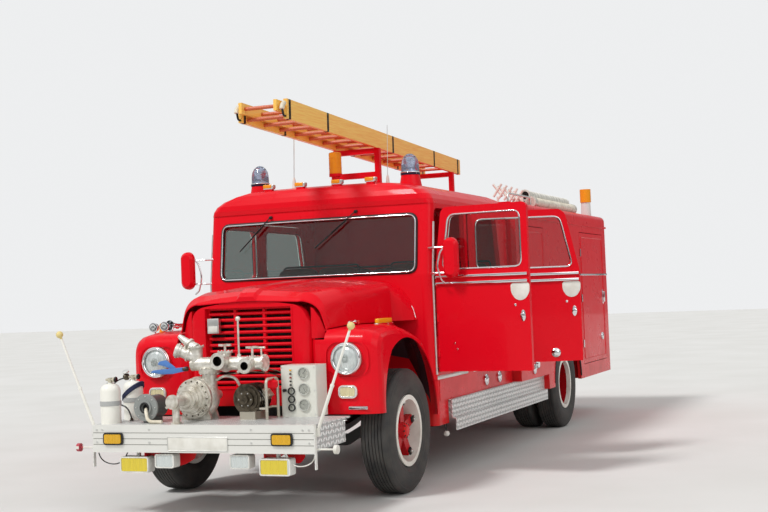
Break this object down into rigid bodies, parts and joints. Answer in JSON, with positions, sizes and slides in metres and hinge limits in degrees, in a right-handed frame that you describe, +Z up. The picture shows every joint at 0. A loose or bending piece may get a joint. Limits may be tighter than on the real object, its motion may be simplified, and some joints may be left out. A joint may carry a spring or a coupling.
{
  "type": "fire engine",
  "caption": "Bonneted crew-cab fire engine with a front pump platform, side lockers, opening doors and a roof ladder on a gantry.",
  "frame": {"origin": "centre of the bounding box on the ground, doors as parked", "axes": "+X forward along the vehicle, +Y to its left, +Z up"},
  "size_m": [8.742, 3.4093, 3.2413],
  "materials": {
    "red_enamel": "gloss",
    "white_enamel": "gloss",
    "black_paint": "satin",
    "dark_metal": "satin",
    "tyre_rubber": "matte",
    "hose_rubber": "matte",
    "bright_metal": "polished",
    "window_glass": "clear",
    "lamp_glass": "clear",
    "blue_glass": "clear",
    "amber_glass": "clear",
    "ladder_wood": "varnished",
    "seat_leather": "satin",
    "cast_aluminium": "satin",
    "wheel_plastic": "gloss"
  },
  "bodies": {
    "chassis": {"chassis_frame": "black_paint", "engine": "dark_metal", "leaf_springs": "black_paint", "front_axle": "black_paint", "rear_axle": "black_paint", "driveshaft": "black_paint", "exhaust": "dark_metal", "fuel_tank": "black_paint", "front_platform": "bright_metal", "pump_casing": "cast_aluminium", "pump_manifold": "cast_aluminium", "priming_unit": "dark_metal", "gauge_box": "white_enamel", "gas_cylinders": "white_enamel", "hose_drum": "white_enamel", "marker_poles": "white_enamel", "grille_shell": "red_enamel", "grille_bars": "red_enamel", "wings": "red_enamel", "lamp_housings": "bright_metal", "lamp_lenses": "lamp_glass", "cowl": "red_enamel", "cab_body": "red_enamel", "cab_roof": "red_enamel", "windscreen": "window_glass", "seats": "seat_leather", "dashboard": "red_enamel", "mirrors": "red_enamel", "running_boards": "bright_metal", "rear_body": "red_enamel", "rear_step": "black_paint", "ladder_gantry": "red_enamel", "ladder_rails": "ladder_wood", "ladder_rungs": "ladder_wood", "suction_hoses": "hose_rubber", "beacon_bases": "red_enamel", "blue_beacons": "blue_glass", "amber_beacons": "amber_glass"},
    "knuckle_left": {"knuckle_left": "black_paint"},
    "knuckle_right": {"knuckle_right": "black_paint"},
    "front_wheel_left": {"wheel_front_left": "white_enamel", "tyre_front_left": "tyre_rubber"},
    "front_wheel_right": {"wheel_front_right": "white_enamel", "tyre_front_right": "tyre_rubber"},
    "rear_wheel_left": {"wheel_rear_left": "white_enamel", "tyre_rear_left": "tyre_rubber"},
    "rear_wheel_right": {"wheel_rear_right": "white_enamel", "tyre_rear_right": "tyre_rubber"},
    "bonnet": {"bonnet": "red_enamel"},
    "steering_wheel": {"steering_wheel": "wheel_plastic"},
    "front_door_left": {"front_door_left": "red_enamel"},
    "front_door_right": {"front_door_right": "red_enamel"},
    "crew_door_left": {"crew_door_left": "red_enamel"},
    "crew_door_right": {"crew_door_right": "red_enamel"},
    "front_locker_door_left": {"front_locker_door_left": "red_enamel"},
    "front_locker_door_right": {"front_locker_door_right": "red_enamel"},
    "rear_locker_door_left": {"rear_locker_door_left": "red_enamel"},
    "rear_locker_door_right": {"rear_locker_door_right": "red_enamel"},
    "rear_door": {"rear_door": "red_enamel"}
  },
  "joints": [
    {"name": "steer_left", "type": "hinge", "parent": "chassis", "child": "knuckle_left", "pos_m": [2.92, 0.43, 0.5], "axis": [0, 0, 1], "range_deg": [-28, 28]},
    {"name": "front_wheel_left_spin", "type": "hinge", "parent": "knuckle_left", "child": "front_wheel_left", "pos_m": [2.92, 0.64, 0.5], "axis": [0, 1, 0], "continuous": true},
    {"name": "rear_wheel_left_spin", "type": "hinge", "parent": "chassis", "child": "rear_wheel_left", "pos_m": [-1.98, 0.52, 0.5], "axis": [0, 1, 0], "continuous": true},
    {"name": "steer_right", "type": "hinge", "parent": "chassis", "child": "knuckle_right", "pos_m": [2.92, -1.13, 0.5], "axis": [0, 0, 1], "range_deg": [-28, 28]},
    {"name": "front_wheel_right_spin", "type": "hinge", "parent": "knuckle_right", "child": "front_wheel_right", "pos_m": [2.92, -1.34, 0.5], "axis": [0, 1, 0], "continuous": true},
    {"name": "rear_wheel_right_spin", "type": "hinge", "parent": "chassis", "child": "rear_wheel_right", "pos_m": [-1.98, -1.22, 0.5], "axis": [0, 1, 0], "continuous": true},
    {"name": "steering_wheel_turn", "type": "hinge", "parent": "chassis", "child": "steering_wheel", "pos_m": [1.835, 0.21, 1.69], "axis": [-0.5524, 0, 0.8336], "range_deg": [-504, 504]},
    {"name": "bonnet_lift", "type": "hinge", "parent": "chassis", "child": "bonnet", "pos_m": [2.436, -0.35, 1.758], "axis": [0, -1, 0], "range_deg": [0, 50]},
    {"name": "front_door_left_hinge", "type": "hinge", "parent": "chassis", "child": "front_door_left", "pos_m": [2.174, 0.746, 1.4], "axis": [0, 0, 1], "range_deg": [0, 95]},
    {"name": "crew_door_left_hinge", "type": "hinge", "parent": "chassis", "child": "crew_door_left", "pos_m": [1.23, 0.746, 1.4], "axis": [0, 0, 1], "range_deg": [0, 70]},
    {"name": "front_door_right_hinge", "type": "hinge", "parent": "chassis", "child": "front_door_right", "pos_m": [2.174, -1.446, 1.4], "axis": [0, 0, 1], "range_deg": [0, 95]},
    {"name": "crew_door_right_hinge", "type": "hinge", "parent": "chassis", "child": "crew_door_right", "pos_m": [1.23, -1.446, 1.4], "axis": [0, 0, 1], "range_deg": [0, 80]},
    {"name": "front_locker_left_hinge", "type": "hinge", "parent": "chassis", "child": "front_locker_door_left", "pos_m": [-0.176, 0.834, 1.4], "axis": [0, 0, -1], "range_deg": [0, 100]},
    {"name": "front_locker_right_hinge", "type": "hinge", "parent": "chassis", "child": "front_locker_door_right", "pos_m": [-0.176, -1.534, 1.4], "axis": [0, 0, 1], "range_deg": [0, 100]},
    {"name": "rear_locker_left_hinge", "type": "hinge", "parent": "chassis", "child": "rear_locker_door_left", "pos_m": [-2.766, 0.834, 1.4], "axis": [0, 0, -1], "range_deg": [0, 100]},
    {"name": "rear_locker_right_hinge", "type": "hinge", "parent": "chassis", "child": "rear_locker_door_right", "pos_m": [-2.766, -1.534, 1.4], "axis": [0, 0, 1], "range_deg": [0, 100]},
    {"name": "rear_door_hinge", "type": "hinge", "parent": "chassis", "child": "rear_door", "pos_m": [-4.184, -0.35, 2.246], "axis": [0, 1, 0], "range_deg": [0, 100]}
  ],
  "couplings": [
    {"joint": "steer_right", "follows": "steer_left", "ratio": 1},
    {"joint": "steering_wheel_turn", "follows": "steer_left", "ratio": 18}
  ]
}
